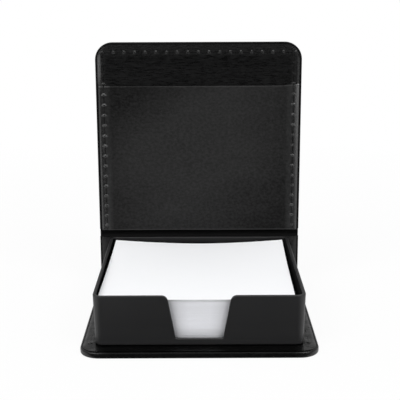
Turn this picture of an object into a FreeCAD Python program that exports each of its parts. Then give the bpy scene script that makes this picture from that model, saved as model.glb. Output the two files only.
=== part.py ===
import FreeCAD, Part
import os
import Sketcher

# Desk memo holder: a leatherette case of three panels (base, spine and cover) with
# a moulded tray for loose note paper. X runs to the right, Y to the back, Z up.
# The origin lies on the desk, in the middle of the footprint. Sizes are in millimetres.

Vector = FreeCAD.Vector
doc = FreeCAD.newDocument("MemoHolder")

SIZES = [
    ("sheet_width", "90", "note paper, side to side"),
    ("sheet_depth", "90", "note paper, front to back"),
    ("paper_below_rim", "2.9", "topmost sheet below the tray rim"),
    ("top_height", "0.8", "few sheets that lie askew on top"),
    ("top_turn", "0.5", "degrees that the top sheets are turned"),
    ("sheet_clearance", "0.8", "paper to tray wall, at the floor"),
    ("tray_wall", "1.6", "wall and floor of the tray"),
    ("tray_height", "23.8", "tray from underside to rim"),
    ("tray_flare", "0.6", "widening of each side from foot to rim, for the mould"),
    ("tray_corner", "3.6", "upright corners of the tray, outside at the foot"),
    ("tray_foot_round", "2.4", "rounded lower edge of the tray"),
    ("tray_floor_round", "0.2", "inside rounding at the tray floor"),
    ("tray_rim_round", "0.4", "rounded rim of the tray"),
    ("notch_top", "29", "finger notch at the rim"),
    ("notch_bottom", "21.5", "finger notch at its sill"),
    ("notch_sill", "3.3", "height of the sill above the tray underside"),
    ("notch_round", "3", "rounded shoulders of the notch"),
    ("notch_foot_round", "1", "rounded lower corners of the notch"),
    ("tape_thickness", "0.4", "tape under the tray"),
    ("tape_width", "18", "tape strip under the tray, side to side"),
    ("tape_margin", "9.4", "tray foot beyond a tape strip, at the front and at the back"),
    ("tape_inset", "19.4", "middle of a tape strip in from the side of the tray foot"),
    ("skin", "0.6", "leatherette outside"),
    ("board", "1.6", "stiffening board"),
    ("lining", "0.4", "lining sheet"),
    ("pocket_sheet", "0.4", "sheet of the cover pocket"),
    ("side_margin", "6", "panel beyond the tray rim at each side"),
    ("front_margin", "7.4", "base beyond the tray rim at the front"),
    ("panel_corner", "9", "rounded free corners of base and cover"),
    ("edge_round", "1.2", "rounding of the wrapped panel edges"),
    ("lining_inset", "1.6", "lining edge in from the panel edge"),
    ("turn_side", "5.8", "turned-in skin at the sides"),
    ("turn_end", "7", "turned-in skin at the free end"),
    ("spine_gap", "1", "tray rim to the spine lining"),
    ("spine_tape_low", "7", "lower edge of the spine tape above the tray underside"),
    ("spine_tape_height", "12", "height of the spine tape"),
    ("spine_tape_margin", "12.4", "tray foot beyond the spine tape, at either side"),
    ("fold_radius", "3.4", "outer radius of the fold between base and spine"),
    ("groove_below", "2.7", "hinge line to the top of the spine"),
    ("groove_above", "1.5", "hinge line to the lower edge of the cover"),
    ("groove_pinch", "0.4", "hinge strip in from the panel edge at each side"),
    ("cover_clearance", "0.2", "closed cover above the tray rim"),
    ("cover_setback", "4.2", "closed cover behind the front edge of the base"),
    ("pocket_drop", "23", "pocket mouth below the free edge of the cover"),
    ("pocket_hem", "0.2", "pocket above the lower edge of the cover"),
    ("seam_side", "4.2", "stitch row in from the side edge"),
    ("seam_end", "5.3", "stitch row in from the free edge"),
    ("stitch_pitch", "5.45", "distance from stitch to stitch"),
    ("stitch_length", "4.1", "visible thread of one stitch"),
    ("thread", "0.5", "thread diameter"),
]

PLACES = [
    ("panel_edge", "=2 * Sizes.skin + Sizes.board", "thickness of a wrapped edge"),
    ("mid_plane", "=Places.panel_edge / 2", "middle of a wrapped edge"),
    ("board_top", "=Sizes.skin + Sizes.board", "upper face of a board"),
    ("dish_floor", "=Places.board_top + Sizes.lining", "lining inside the turned-in skin"),
    ("border_top", "=Places.panel_edge + Sizes.lining", "lining over the turned-in skin"),
    ("pocket_face", "=Places.border_top + Sizes.pocket_sheet", "face of the pocket"),
    ("floor_width", "=Sizes.sheet_width + 2 * Sizes.sheet_clearance", "tray floor inside"),
    ("floor_depth", "=Sizes.sheet_depth + 2 * Sizes.sheet_clearance", "tray floor inside"),
    ("foot_width", "=Places.floor_width + 2 * Sizes.tray_wall", "tray underside"),
    ("foot_depth", "=Places.floor_depth + 2 * Sizes.tray_wall", "tray underside"),
    ("rim_width", "=Places.foot_width + 2 * Sizes.tray_flare", "tray rim outside"),
    ("rim_depth", "=Places.foot_depth + 2 * Sizes.tray_flare", "tray rim outside"),
    ("tray_base", "=Places.dish_floor + Sizes.tape_thickness", "tray underside above the desk"),
    ("rim_level", "=Places.tray_base + Sizes.tray_height", "tray rim above the desk"),
    ("paper_base", "=Places.tray_base + Sizes.tray_wall", "paper above the desk"),
    ("block_top", "=Places.rim_level - Sizes.paper_below_rim - Sizes.top_height",
     "upper face of the squared-up sheets"),
    ("panel_width", "=Places.rim_width + 2 * Sizes.side_margin", "width of every panel"),
    ("case_depth", "=Sizes.front_margin + Places.rim_depth + Sizes.spine_gap + Places.border_top",
     "front edge of the base to the back face of the spine"),
    ("front_edge", "=-Places.case_depth / 2", "front edge of the base"),
    ("back_face", "=Places.case_depth / 2", "back face of spine and cover"),
    ("tray_middle", "=Places.front_edge + Sizes.front_margin + Places.rim_depth / 2",
     "middle of the tray"),
    ("base_length", "=Places.case_depth - Sizes.fold_radius", "flat part of the base"),
    ("hinge_level", "=Places.rim_level + Sizes.cover_clearance + Places.pocket_face - Places.mid_plane",
     "hinge line above the desk"),
    ("spine_top", "=Places.hinge_level - Sizes.groove_below", "top of the spine"),
    ("spine_length", "=Places.spine_top - Sizes.fold_radius", "flat part of the spine"),
    ("groove_width", "=Sizes.groove_below + Sizes.groove_above", "spine to cover"),
    ("groove_dip", "=Places.mid_plane - Sizes.skin", "skin pressed in at the hinge"),
    ("groove_sink", "=Places.board_top - Places.mid_plane", "lining pressed in at the hinge"),
    ("cover_start", "=Places.hinge_level + Sizes.groove_above", "lower edge of the cover"),
    ("cover_length", "=Places.case_depth - Places.mid_plane - Sizes.cover_setback - Sizes.groove_above",
     "cover from its lower edge to its free edge"),
    ("pocket_mouth", "=Places.cover_length - Sizes.pocket_drop", "open edge of the pocket"),
    ("tape_length", "=Places.foot_depth - 2 * Sizes.tape_margin", "tape strip, front to back"),
    ("tape_middle", "=Places.foot_width / 2 - Sizes.tape_inset", "middle of a tape strip"),
    ("spine_tape_length", "=Places.foot_width - 2 * Sizes.spine_tape_margin", "spine tape, side to side"),
    ("notch_rise", "=Sizes.tray_height - Sizes.notch_sill", "height of the notch"),
    ("notch_run", "=(Sizes.notch_top - Sizes.notch_bottom) / 2", "sideways run of a notch side"),
    ("notch_slant", "=sqrt(Places.notch_rise ^ 2 + Places.notch_run ^ 2)", "length of a notch side"),
    ("notch_reach", "=Sizes.notch_round * (Places.notch_slant - Places.notch_run) / Places.notch_rise",
     "shoulder from its corner to where it runs out"),
    ("notch_foot_reach", "=Places.notch_reach * Sizes.notch_foot_round / Sizes.notch_round",
     "lower corner of the notch to where its rounding runs out"),
]


def make_sheet(name, rows):
    """Spreadsheet with a meaning in column A and a named value in column B."""
    sheet = doc.addObject("Spreadsheet::Sheet", name)
    for number, (alias, value, meaning) in enumerate(rows, 1):
        sheet.set(f"A{number}", meaning)
        sheet.setAlias(f"B{number}", alias)
        sheet.set(f"B{number}", value)
    doc.recompute()
    return sheet


sizes = make_sheet("Sizes", SIZES)
places = make_sheet("Places", PLACES)

FLAT = FreeCAD.Rotation()
BASE_WAY = FreeCAD.Rotation(Vector(0, 0, 1), 180)
UPRIGHT = FreeCAD.Rotation(Vector(1, 0, 0), 90)

# Each panel is drawn lying flat: X across, Y from its hinge end to its free end and
# Z from the outer face to the inner face. These frames put the panels in their places.
BASE = (BASE_WAY, "0", "Places.back_face - Sizes.fold_radius", "0")
SPINE = (UPRIGHT, "0", "Places.back_face", "Sizes.fold_radius")
HINGE = (UPRIGHT, "0", "Places.back_face", "Places.spine_top")
COVER = (UPRIGHT, "0", "Places.back_face", "Places.cover_start")
FOLD = (FLAT, "0", "Places.back_face - Sizes.fold_radius", "Sizes.fold_radius")
TRAY = (FLAT, "0", "Places.tray_middle", "Places.tray_base")

pieces = []


def value_of(expression):
    return float(places.evalExpression(expression))


def put(piece, frame):
    """Place a piece, with its position bound to the sheets."""
    rotation, *position = frame
    piece.Placement = FreeCAD.Placement(Vector(), rotation)
    for axis, expression in zip("xyz", position):
        piece.setExpression(f"Placement.Base.{axis}", expression)
    pieces.append(piece)


def new_body(label, frame):
    body = doc.addObject("PartDesign::Body", label)
    body.Label = label
    put(body, frame)
    return body


def pin(sketch, axis, element, end, expression, start):
    """Fix one coordinate of a sketch point."""
    if expression == "0":
        line = -2 if axis == "X" else -1
        sketch.addConstraint(Sketcher.Constraint("PointOnObject", element, end, line))
        return
    number = sketch.addConstraint(Sketcher.Constraint("Distance" + axis, -1, 1, element, end, start))
    sketch.setExpression(f"Constraints[{number}]", expression)


def arc_between(start, finish, radius, turn):
    """Arc from start to finish that turns left (1) or right (-1)."""
    chord = finish - start
    left = Vector(-chord.y, chord.x, 0).normalize()
    rise = max(radius ** 2 - chord.Length ** 2 / 4, 0) ** 0.5
    centre = (start + finish) / 2 + left * rise * turn
    first, last = (start, finish) if turn > 0 else (finish, start)
    circle = Part.Circle(centre, Vector(0, 0, 1), radius)
    return Part.ArcOfCircle(circle, circle.parameter(first), circle.parameter(last))


def outline(body, role, steps, level="0"):
    """Closed sketch through the steps, on an origin plane of the body raised to a level.

    A step is (across, along) for a straight line to the next step, or
    (across, along, radius, turn) for an arc to the next step.
    """
    plane = [f for f in body.Origin.OriginFeatures if f.Role == role][0]
    sketch = body.newObject("Sketcher::SketchObject", body.Label + "_outline")
    sketch.AttachmentSupport = [(plane, "")]
    sketch.MapMode = "FlatFace"
    if level != "0":
        sketch.setExpression("AttachmentOffset.Base.z", level)
    points = [Vector(value_of(step[0]), value_of(step[1]), 0) for step in steps]
    ends = []
    for number, step in enumerate(steps):
        start = points[number]
        finish = points[(number + 1) % len(steps)]
        if len(step) == 2:
            sketch.addGeometry(Part.LineSegment(start, finish), False)
            ends.append((1, 2))
            continue
        radius, turn = step[2:]
        sketch.addGeometry(arc_between(start, finish, value_of(radius), turn), False)
        ends.append((1, 2) if turn > 0 else (2, 1))
    for number, step in enumerate(steps):
        following = (number + 1) % len(steps)
        joint = Sketcher.Constraint("Coincident", number, ends[number][1], following, ends[following][0])
        sketch.addConstraint(joint)
        pin(sketch, "X", number, ends[number][0], step[0], points[number].x)
        pin(sketch, "Y", number, ends[number][0], step[1], points[number].y)
    for number, step in enumerate(steps):
        if len(step) == 4:
            bend = sketch.addConstraint(Sketcher.Constraint("Radius", number, value_of(step[2])))
            sketch.setExpression(f"Constraints[{bend}]", step[2])
    return sketch


def pad(body, sketch, length, both_ways=False):
    feature = body.newObject("PartDesign::Pad", body.Label + "_pad")
    feature.Profile = sketch
    feature.setExpression("Length", length)
    if both_ways:
        feature.SideType = "Symmetric"
    doc.recompute()
    return feature


def pocket(body, sketch, depth):
    feature = body.newObject("PartDesign::Pocket", body.Label + "_pocket")
    feature.Profile = sketch
    feature.setExpression("Length", depth)
    doc.recompute()
    return feature


def fillet(body, chosen, radius):
    """Round the edges of the body that the test picks."""
    tip = body.Tip
    names = [f"Edge{n}" for n, edge in enumerate(tip.Shape.Edges, 1) if chosen(edge)]
    feature = body.newObject("PartDesign::Fillet", body.Label + "_fillet")
    feature.Base = (tip, names)
    feature.setExpression("Radius", radius)
    doc.recompute()
    return feature


def rectangle(width, near, far):
    """Steps of a rectangle as wide as given, from near to far."""
    half = f"({width}) / 2"
    return [(f"-{half}", near), (half, near), (half, far), (f"-{half}", far)]


def centred(width, depth):
    return rectangle(width, f"-({depth}) / 2", f"({depth}) / 2")


def rounded(width, depth, radius):
    """Steps of a centred rectangle with four rounded corners."""
    x, y = f"({width}) / 2", f"({depth}) / 2"
    r = f"({radius})"
    return [
        (f"-{x} + {r}", f"-{y}"),
        (f"{x} - {r}", f"-{y}", radius, 1),
        (x, f"-{y} + {r}"),
        (x, f"{y} - {r}", radius, 1),
        (f"{x} - {r}", y),
        (f"-{x} + {r}", y, radius, 1),
        (f"-{x}", f"{y} - {r}"),
        (f"-{x}", f"-{y} + {r}", radius, 1),
    ]


def panel(length, side, end, near="0", free=True):
    """Steps of a panel set in by side and end; a free end has rounded corners."""
    x = f"(Places.panel_width / 2 - ({side}))"
    y = f"({length} - ({end}))"
    if not free:
        return [(f"-{x}", near), (x, near), (x, y), (f"-{x}", y)]
    r = f"(Sizes.panel_corner - ({side}))"
    return [
        (f"-{x}", near),
        (x, near),
        (x, f"{y} - {r}", r, 1),
        (f"{x} - {r}", y),
        (f"-{x} + {r}", y, r, 1),
        (f"-{x}", f"{y} - {r}"),
    ]


def flat_at(edge, level):
    """True for an edge that lies at one height."""
    box = edge.BoundBox
    return abs(box.ZMin - level) < 1e-4 and abs(box.ZMax - level) < 1e-4


def across_at(edge, place):
    """True for an edge that runs straight across at one Y."""
    box = edge.BoundBox
    return abs(box.YMin - place) < 1e-4 and abs(box.YMax - place) < 1e-4


# The case. Every panel has a board, a skin that wraps it and turns in over its inner
# face, and a lining that covers the turned-in skin and dips inside it.

def make_panel(name, frame, length, free=True):
    past = "-Sizes.skin"
    beyond = "0" if free else past

    skin = new_body(name + "_skin", frame)
    pad(skin, outline(skin, "XY_Plane", panel(length, "0", "0", free=free)), "Places.panel_edge")
    far = value_of(length)
    rims = (0.0, places.panel_edge)
    open_ends = (0.0,) if free else (0.0, far)
    fillet(
        skin,
        lambda edge: any(flat_at(edge, level) for level in rims)
        and not any(across_at(edge, place) for place in open_ends),
        "Sizes.edge_round",
    )
    inset = "Sizes.skin" if free else beyond
    room = panel(length, "Sizes.skin", inset, past, free)
    pocket(skin, outline(skin, "XY_Plane", room, "Places.board_top"), "Sizes.board")
    turned = "Sizes.turn_end" if free else beyond
    mouth = panel(length, "Sizes.turn_side", turned, past, free)
    pocket(skin, outline(skin, "XY_Plane", mouth, "Places.panel_edge"), "Sizes.skin")

    board = new_body(name + "_board", frame)
    inset = "Sizes.skin" if free else "0"
    plate = panel(length, "Sizes.skin", inset, free=free)
    pad(board, outline(board, "XY_Plane", plate, "Sizes.skin"), "Sizes.board")

    lining = new_body(name + "_lining", frame)
    inset = "Sizes.lining_inset" if free else "0"
    border = panel(length, "Sizes.lining_inset", inset, free=free)
    pad(lining, outline(lining, "XY_Plane", border, "Places.panel_edge"), "Sizes.lining")
    turned = "Sizes.turn_end" if free else "0"
    step = panel(length, "Sizes.turn_side", turned, free=free)
    pad(lining, outline(lining, "XY_Plane", step, "Places.board_top"), "Sizes.skin + Sizes.lining")
    turned = "Sizes.turn_end + Sizes.lining" if free else beyond
    dish = panel(length, "Sizes.turn_side + Sizes.lining", turned, past, free)
    pocket(lining, outline(lining, "XY_Plane", dish, "Places.border_top"), "Sizes.skin")


make_panel("base", BASE, "Places.base_length")
make_panel("spine", SPINE, "Places.spine_length", free=False)
make_panel("cover", COVER, "Places.cover_length")

# Fold between base and spine: skin and lining run on round the corner, without board.

FOLD_WIDTH = "Places.panel_width - 2 * Sizes.groove_pinch"
LINED_WIDTH = "Places.panel_width - 2 * Sizes.lining_inset"


def quarter(outer, inner):
    """Steps of a quarter ring from straight down to straight back."""
    return [
        ("0", f"-({outer})", outer, 1),
        (outer, "0"),
        (inner, "0", inner, -1),
        ("0", f"-({inner})"),
    ]


fold_skin = new_body("fold_skin", FOLD)
ring = quarter("Sizes.fold_radius", "Sizes.fold_radius - Sizes.skin")
pad(fold_skin, outline(fold_skin, "YZ_Plane", ring), FOLD_WIDTH, both_ways=True)

fold_lining = new_body("fold_lining", FOLD)
ring = quarter("Sizes.fold_radius - Places.board_top", "Sizes.fold_radius - Places.dish_floor")
pad(fold_lining, outline(fold_lining, "YZ_Plane", ring), LINED_WIDTH, both_ways=True)

# Hinge of the cover: skin and lining are pressed together along a groove.


def groove(low, high, dip, side):
    """Steps of a sheet across the groove, pressed by dip to one side."""
    bend = f"((Places.groove_width / 2) ^ 2 + ({dip}) ^ 2) / (2 * ({dip}))"
    return [
        ("0", low, bend, -side),
        ("Places.groove_width", low),
        ("Places.groove_width", high, bend, side),
        ("0", high),
    ]


hinge_skin = new_body("hinge_skin", HINGE)
sheet = groove("0", "Sizes.skin", "Places.groove_dip", 1)
pad(hinge_skin, outline(hinge_skin, "YZ_Plane", sheet), FOLD_WIDTH, both_ways=True)

hinge_lining = new_body("hinge_lining", HINGE)
sheet = groove("Places.board_top", "Places.dish_floor", "Places.groove_sink", -1)
pad(hinge_lining, outline(hinge_lining, "YZ_Plane", sheet), LINED_WIDTH, both_ways=True)

# Pocket of the cover: a flat sheet over the dip of the lining, turned in at its foot.

cover_pocket = new_body("cover_pocket", COVER)
face = rectangle(LINED_WIDTH, "Sizes.pocket_hem", "Places.pocket_mouth")
pad(cover_pocket, outline(cover_pocket, "XY_Plane", face, "Places.border_top"), "Sizes.pocket_sheet")
foot = rectangle(
    "Places.panel_width - 2 * (Sizes.turn_side + Sizes.lining)",
    "Sizes.pocket_hem",
    "Sizes.pocket_hem + Sizes.pocket_sheet",
)
pad(cover_pocket, outline(cover_pocket, "XY_Plane", foot, "Places.dish_floor"), "Sizes.skin")

# Tray: walls that lean outwards for the mould, one wall thickness throughout and a
# finger notch in the front wall.

LEAN = "atan(Sizes.tray_flare / Sizes.tray_height)"

tray = new_body("tray", TRAY)
foot = rounded("Places.foot_width", "Places.foot_depth", "Sizes.tray_corner")
walls = pad(tray, outline(tray, "XY_Plane", foot), "Sizes.tray_height")
walls.setExpression("TaperAngle", LEAN)
doc.recompute()
fillet(tray, lambda edge: flat_at(edge, 0), "Sizes.tray_foot_round")
mouth = rounded(
    "Places.rim_width - 2 * Sizes.tray_wall",
    "Places.rim_depth - 2 * Sizes.tray_wall",
    "Sizes.tray_corner + Sizes.tray_flare - Sizes.tray_wall",
)
hollow = pocket(
    tray,
    outline(tray, "XY_Plane", mouth, "Sizes.tray_height"),
    "Sizes.tray_height - Sizes.tray_wall",
)
hollow.setExpression("TaperAngle", "-" + LEAN)
doc.recompute()
fillet(tray, lambda edge: flat_at(edge, sizes.tray_wall), "Sizes.tray_floor_round")

LEVEL_SHARE = "Places.notch_run / Places.notch_slant"
RISE_SHARE = "Places.notch_rise / Places.notch_slant"
SILL_X = "(Sizes.notch_bottom / 2 - Places.notch_foot_reach)"
FOOT_X = f"(Sizes.notch_bottom / 2 + Places.notch_foot_reach * {LEVEL_SHARE})"
FOOT_Z = f"Sizes.notch_sill + Places.notch_foot_reach * {RISE_SHARE}"
SHOULDER_X = f"(Sizes.notch_top / 2 - Places.notch_reach * {LEVEL_SHARE})"
SHOULDER_Z = f"Sizes.tray_height - Places.notch_reach * {RISE_SHARE}"
RIM_X = "(Sizes.notch_top / 2 + Places.notch_reach)"
ABOVE_Z = "Sizes.tray_height + Sizes.tray_wall"
notch = [
    (f"-{SILL_X}", "Sizes.notch_sill"),
    (SILL_X, "Sizes.notch_sill", "Sizes.notch_foot_round", 1),
    (FOOT_X, FOOT_Z),
    (SHOULDER_X, SHOULDER_Z, "Sizes.notch_round", -1),
    (RIM_X, "Sizes.tray_height"),
    (RIM_X, ABOVE_Z),
    (f"-{RIM_X}", ABOVE_Z),
    (f"-{RIM_X}", "Sizes.tray_height", "Sizes.notch_round", -1),
    (f"-{SHOULDER_X}", SHOULDER_Z),
    (f"-{FOOT_X}", FOOT_Z, "Sizes.notch_foot_round", 1),
]
pocket(
    tray,
    outline(tray, "XZ_Plane", notch, "Places.rim_depth / 2 + Sizes.tray_wall"),
    "3 * Sizes.tray_wall + Sizes.tray_flare",
)


def on_rim(edge):
    """True for the inner and outer edge of the rim, which dips round the finger notch."""
    box = edge.BoundBox
    near = 0.05
    if box.XLength + box.ZLength < near and box.YLength < 2 * sizes.tray_wall:
        return False
    reach = sizes.notch_top / 2 + places.notch_reach + near
    in_wall = box.YMax < sizes.tray_wall - places.foot_depth / 2 + near
    in_notch = -reach < box.XMin and box.XMax < reach and box.ZMin > sizes.notch_sill - near
    return flat_at(edge, sizes.tray_height) or in_wall and in_notch


fillet(tray, on_rim, "Sizes.tray_rim_round")

# Tape under the tray, one strip at each side, and a foam strip behind it whose front
# face follows the lean of the tray wall.

for side, sign in (("left", "-"), ("right", "")):
    strip = doc.addObject("Part::Box", "tray_tape_" + side)
    strip.Label = "tray_tape_" + side
    strip.setExpression("Length", "Sizes.tape_width")
    strip.setExpression("Width", "Places.tape_length")
    strip.setExpression("Height", "Sizes.tape_thickness")
    edge = f"{sign}Places.tape_middle - Sizes.tape_width / 2"
    put(strip, (FLAT, edge, "Places.tray_middle - Places.tape_length / 2", "Places.dish_floor"))

spine_tape = new_body("spine_tape", TRAY)
LOW = "Sizes.spine_tape_low"
HIGH = "(Sizes.spine_tape_low + Sizes.spine_tape_height)"
WALL = "(Places.foot_depth / 2 + Sizes.tray_flare * {} / Sizes.tray_height)"
DISH = "(Places.back_face - Places.dish_floor - Places.tray_middle)"
wedge = [(WALL.format(LOW), LOW), (DISH, LOW), (DISH, HIGH), (WALL.format(HIGH), HIGH)]
pad(spine_tape, outline(spine_tape, "YZ_Plane", wedge), "Places.spine_tape_length", both_ways=True)

# Note paper: a squared-up stack and a few sheets that lie askew on it.

paper_block = new_body("paper_block", (FLAT, "0", "Places.tray_middle", "Places.paper_base"))
square = centred("Sizes.sheet_width", "Sizes.sheet_depth")
pad(paper_block, outline(paper_block, "XY_Plane", square), "Places.block_top - Places.paper_base")

ASKEW = FreeCAD.Rotation(Vector(0, 0, 1), sizes.top_turn)
paper_top = new_body("paper_top", (ASKEW, "0", "Places.tray_middle", "Places.block_top"))
pad(paper_top, outline(paper_top, "XY_Plane", square), "Sizes.top_height")

# Stitches: lengths of thread that slope down into the lining at both ends or, along the
# pocket, into the pocket sheet. Side rows and end row start from a shared corner hole.


def stitch(x, y, level, along):
    """One stitch centred at x, y, lying along Y or across."""
    half = sizes.stitch_length / 2
    radius = sizes.thread / 2
    crown = half - sizes.thread
    thread = Part.makeWedge(-half, 0, -radius, -radius / 2, -crown, half, radius, radius, radius / 2, crown)
    thread.rotate(Vector(), Vector(1, 0, 0), 90)
    if along:
        thread.rotate(Vector(), Vector(0, 0, 1), 90)
    thread.translate(Vector(x, y, level))
    return thread


def row(count, first, pitch):
    """Middles of a number of stitches, from the hole that the row starts at."""
    return [first + (number + 0.5) * pitch for number in range(count)]


def make_stitches(name, frame, length, free=True):
    border = places.border_top
    sides = places.panel_width / 2 - sizes.seam_side
    pitch = sizes.stitch_pitch
    reach = length - sizes.seam_end if free else length
    count = int(reach / pitch)
    spare = reach - count * pitch
    threads = []
    for place in row(count, spare if free else spare / 2, pitch):
        level = border
        if name == "cover" and place < places.pocket_mouth:
            level = places.pocket_face
        threads += [stitch(x, place, level, True) for x in (-sides, sides)]
    if free:
        count = round(2 * sides / pitch)
        places_across = row(count, -sides, 2 * sides / count)
        threads += [stitch(x, reach, border, False) for x in places_across]
    seam = doc.addObject("Part::Feature", name + "_stitches")
    seam.Label = name + "_stitches"
    seam.Shape = Part.makeCompound(threads)
    put(seam, frame)


make_stitches("base", BASE, places.base_length)
make_stitches("spine", SPINE, places.spine_length, free=False)
make_stitches("cover", COVER, places.cover_length)

doc.recompute()
os.makedirs("parts", exist_ok=True)
for item in doc.Objects:
    if "Invalid" in item.State or "Error" in item.State:
        raise RuntimeError(f"{item.Label} did not build")
for piece in pieces:
    if piece.Shape.isNull() or not piece.Shape.isValid():
        raise RuntimeError(f"{piece.Label} is not a sound solid")
    piece.Shape.exportStep(f"parts/{piece.Label}.step")
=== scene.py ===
import random
from collections import namedtuple
from contextlib import contextmanager
from math import copysign, cos, pi, radians, sin

import bmesh
import bpy
from mathutils import Matrix, Vector, noise
from mathutils.kdtree import KDTree


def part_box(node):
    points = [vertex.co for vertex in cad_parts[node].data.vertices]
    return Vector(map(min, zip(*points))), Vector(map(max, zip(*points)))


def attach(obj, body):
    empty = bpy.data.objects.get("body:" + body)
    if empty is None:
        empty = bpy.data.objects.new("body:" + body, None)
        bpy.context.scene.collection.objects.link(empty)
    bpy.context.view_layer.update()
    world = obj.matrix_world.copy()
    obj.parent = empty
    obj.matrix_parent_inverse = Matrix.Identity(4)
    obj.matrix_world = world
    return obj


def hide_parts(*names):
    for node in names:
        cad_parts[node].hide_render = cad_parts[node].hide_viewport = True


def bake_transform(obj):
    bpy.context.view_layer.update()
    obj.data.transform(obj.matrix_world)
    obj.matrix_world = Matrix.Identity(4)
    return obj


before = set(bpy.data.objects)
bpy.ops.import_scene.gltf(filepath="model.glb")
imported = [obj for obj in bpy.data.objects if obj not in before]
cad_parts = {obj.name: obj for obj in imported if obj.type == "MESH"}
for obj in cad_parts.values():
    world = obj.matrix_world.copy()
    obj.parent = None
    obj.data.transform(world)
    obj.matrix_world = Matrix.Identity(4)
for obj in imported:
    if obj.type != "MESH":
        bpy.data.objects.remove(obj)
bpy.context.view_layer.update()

# Desk memo holder: a leatherette case of base, spine and cover around a moulded tray of
# note paper. Pieces are modelled in millimetres, lying flat, and settled in metres.

MM = 0.001


def span(node):
    """Lowest and highest corner of a node, in millimetres."""
    low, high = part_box(node)
    return low / MM, high / MM


BASE_LOW, BASE_HIGH = span("base_skin")
SPINE_LOW, SPINE_HIGH = span("spine_skin")
COVER_LOW, COVER_HIGH = span("cover_skin")
LINING_LOW = span("cover_lining")[0]
POCKET_LOW, POCKET_HIGH = span("cover_pocket")
FOLD_LOW, FOLD_HIGH = span("fold_skin")
FOLD_IN_HIGH = span("fold_lining")[1]
TRAY_LOW, TRAY_HIGH = span("tray")
BLOCK_LOW, BLOCK_HIGH = span("paper_block")
TOP_LOW, TOP_HIGH = span("paper_top")

WIDTH = COVER_HIGH.x - COVER_LOW.x
HALF = WIDTH / 2
EDGE = BASE_HIGH.z
BACK = SPINE_HIGH.y
SPINE_LENGTH = SPINE_HIGH.z - SPINE_LOW.z
COVER_LENGTH = COVER_HIGH.z - COVER_LOW.z
HINGE_LENGTH = COVER_LOW.z - SPINE_HIGH.z
BORDER_TOP = BACK - LINING_LOW.y
POCKET_FACE = BACK - POCKET_LOW.y
POCKET_MOUTH = POCKET_HIGH.z - COVER_LOW.z
POCKET_FOOT = POCKET_LOW.z - COVER_LOW.z

# Layers of the case, the rounding of its panels, and the form of the tray.
SKIN = 0.6
BOARD = 1.6
LINING = 0.4
PANEL_CORNER = 9.0
EDGE_ROUND = 0.7
TURN_IN = 0.9
TRAY_WALL = 1.6
TRAY_CORNER = 2.6
TRAY_FOOT = 2.4
FOOT_POWER = 0.35

# Half width of the finger notch at desk level, and what it gains per millimetre of height.
NOTCH_FOOT = 9.73
NOTCH_SLOPE = 0.2164

# Lines of a lining, in from the panel edge: its cut edge, the crown of its border, the
# seam, and the top and foot of the step into the dish. Heights count from the border.
SIDE_LINES = (1.0, 2.3, 4.2, 6.1, 9.733)
END_LINES = (1.0, 3.4, 5.3, 7.2, 10.75)
LINE_HEIGHTS = (0.0, 0.04, -0.06, 0.0, -0.6)
SPINE_BULGE = (-0.17, 0.425, 0.85, 0.595, 0.0)
BULGE_POWER = 0.7
BUMP_SPREAD = 0.22
ROLL_WIDTH = 1.3
ROLL_POWER = 1.5
SEAM = 2
LINE_GAP = 1.5

STITCH_PITCH = 5.45
STITCH_GAP = 0.9
STITCH_DIVE = ((0.35, -0.06), (0.3, -0.2), (0.15, -0.4))
THREAD = 0.2
SEAM_FACE = BORDER_TOP + LINE_HEIGHTS[SEAM] - 0.12
BASE_SUNK = 0.06

# Each needle hole, pushed through from outside: inset and rise of its lip, then of the hole.
PUCKER = 1.86
PUCKER_STEPS = ((0.04, 0.03), (0.36, 0.38), (0.28, 0.08), (0.22, -0.12), (0.1, -0.5))
DRAWN = 0.68
FLAT_RISE = 0.25
FULL_RISE = 1.0

# What differs from pucker to pucker, and how much of its rise is at the back and all round.
SWELL = (0.8, 1.3)
SKEW = 0.25
LEAN = 0.5
LEAST_RISE = 0.08
ALL_ROUND = 0.3

# The pocket: its cut edges and the line inside the left one, in from the cover's edge, the
# lines of its hem about its foot, and those of its lip, each back from the mouth and up.
POCKET_LEFT = (1.6, 1.95)
POCKET_RIGHT = 1.25
POCKET_HEM = ((-0.4, 0.12), (0.3, 0.0))
POCKET_LIP = ((0.7, 0.05), (0.05, 0.02), (-0.4, -0.32))
POCKET_EDGE = POCKET_LOW.z + POCKET_HEM[0][0]
SIDE_SUNK = 0.2
RIGHT_CROWN = 0.25
GAPE = 0.35
WAVE = 0.14
WAVE_SPREAD = (0.075, 0.11)

# Its right mouth corner, from a share of the half width and down to a depth, lifted up and
# out. Its puckers: on the left what they gain upwards, on the right how they differ.
CORNER_FROM = 0.8
CORNER_DEPTH = 2.0
CORNER_LIFT = (0.8, 0.2)
LEFT_TALL = (1.4, 0.6)
RIGHT_TALL = (0.55, 0.3)
RIGHT_SPREAD = 0.9

# How far the hinge sheets stop short of the panel edge, and the form of their groove.
HINGE_INSET = 0.1
GROOVE_INSET = 0.6
GROOVE_POWER = 1.2

# The stack: for slip and turn, those of the lowest sheet, what the top one adds, scatter.
STACK_SEED = 7
STACK_SHEETS = 180
STACK_SLIP = (-0.25, -0.45, 0.035)
STACK_TURN = (-0.45, -0.25, 0.03)
STACK_SCATTER = 0.04
SHEET_CORNER = 0.3

# The loose sheets above it, from the lowest up: turn in degrees, and slip.
LOOSE_SHEETS = (
    (-0.65, (-0.65, 0.0)),
    (-0.8, (-0.72, 0.1)),
    (-0.7, (-0.7, -0.1)),
    (-0.85, (-0.72, 0.15)),
    (-0.75, (-0.7, 0.05)),
    (-0.8, (-0.75, 0.0)),
)
LOOSE_TRIM = 0.3
LOOSE_CELLS = 18
LOOSE_THICK = 0.96
CURL_LEFT = 2.0
CURL_RIGHT = 2.2
CURL_SAG = 0.2
CURL_START = 0.1
CURL_REAR = 1.6
CURL_SIDE = 1.7

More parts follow.
